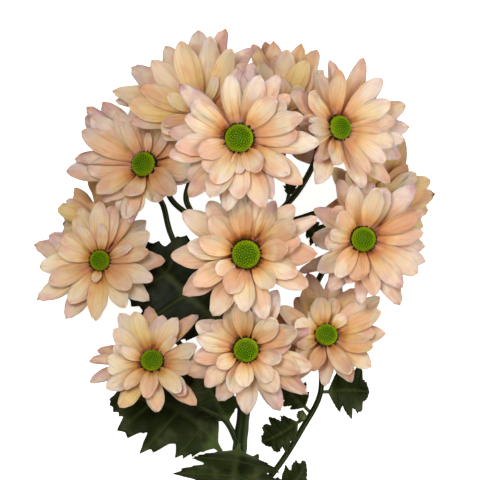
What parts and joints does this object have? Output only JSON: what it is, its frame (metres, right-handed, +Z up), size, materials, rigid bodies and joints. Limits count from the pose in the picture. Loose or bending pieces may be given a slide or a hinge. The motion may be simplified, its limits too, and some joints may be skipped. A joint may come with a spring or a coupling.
{
  "type": "multi-bloom chrysanthemum",
  "caption": "Cut spray chrysanthemum lying down: peach daisy blooms with green discs on forking stalks, a bare lower stem and dark lobed leaves.",
  "frame": {"origin": "middle of the bounding box on the surface that the spray lies on", "axes": "+Y from the cut end of the stem towards the blooms, +Z up out of the blooms' faces, +X to the right as the blooms are looked at with the stem towards the viewer"},
  "size_m": [0.1806, 0.3089, 0.1253],
  "materials": {
    "petals": "soft matte with a faint satin sheen, peach with paler pinkish tips",
    "disc": "matte, packed green florets",
    "bracts": "matte green, overlapping",
    "stem": "satin, ridged green",
    "leaf": "matte dark green with a greyish bloom and paler veins"
  },
  "bodies": {
    "root": {"bloom_01_petals": "petals", "bloom_01_disc": "disc", "bloom_01_calyx": "bracts", "bloom_02_petals": "petals", "bloom_02_disc": "disc", "bloom_02_calyx": "bracts", "bloom_03_petals": "petals", "bloom_03_disc": "disc", "bloom_03_calyx": "bracts", "bloom_04_petals": "petals", "bloom_04_disc": "disc", "bloom_04_calyx": "bracts", "bloom_05_petals": "petals", "bloom_05_disc": "disc", "bloom_05_calyx": "bracts", "bloom_06_petals": "petals", "bloom_06_disc": "disc", "bloom_06_calyx": "bracts", "bloom_07_petals": "petals", "bloom_07_disc": "disc", "bloom_07_calyx": "bracts", "bloom_08_petals": "petals", "bloom_08_disc": "disc", "bloom_08_calyx": "bracts", "bloom_09_petals": "petals", "bloom_09_disc": "disc", "bloom_09_calyx": "bracts", "bloom_10_petals": "petals", "bloom_10_disc": "disc", "bloom_10_calyx": "bracts", "bloom_11_petals": "petals", "bloom_11_disc": "disc", "bloom_11_calyx": "bracts", "bloom_12_petals": "petals", "bloom_12_disc": "disc", "bloom_12_calyx": "bracts", "bloom_13_petals": "petals", "bloom_13_disc": "disc", "bloom_13_calyx": "bracts", "stem": "stem", "bud": "bracts", "leaf_01": "leaf", "leaf_02": "leaf", "leaf_03": "leaf", "leaf_04": "leaf", "leaf_05": "leaf", "leaf_06": "leaf", "leaf_07": "leaf", "leaf_08": "leaf", "leaf_09": "leaf", "leaf_10": "leaf", "leaf_11": "leaf", "leaf_12": "leaf", "leaf_13": "leaf", "leaf_14": "leaf"}
  },
  "joints": []
}
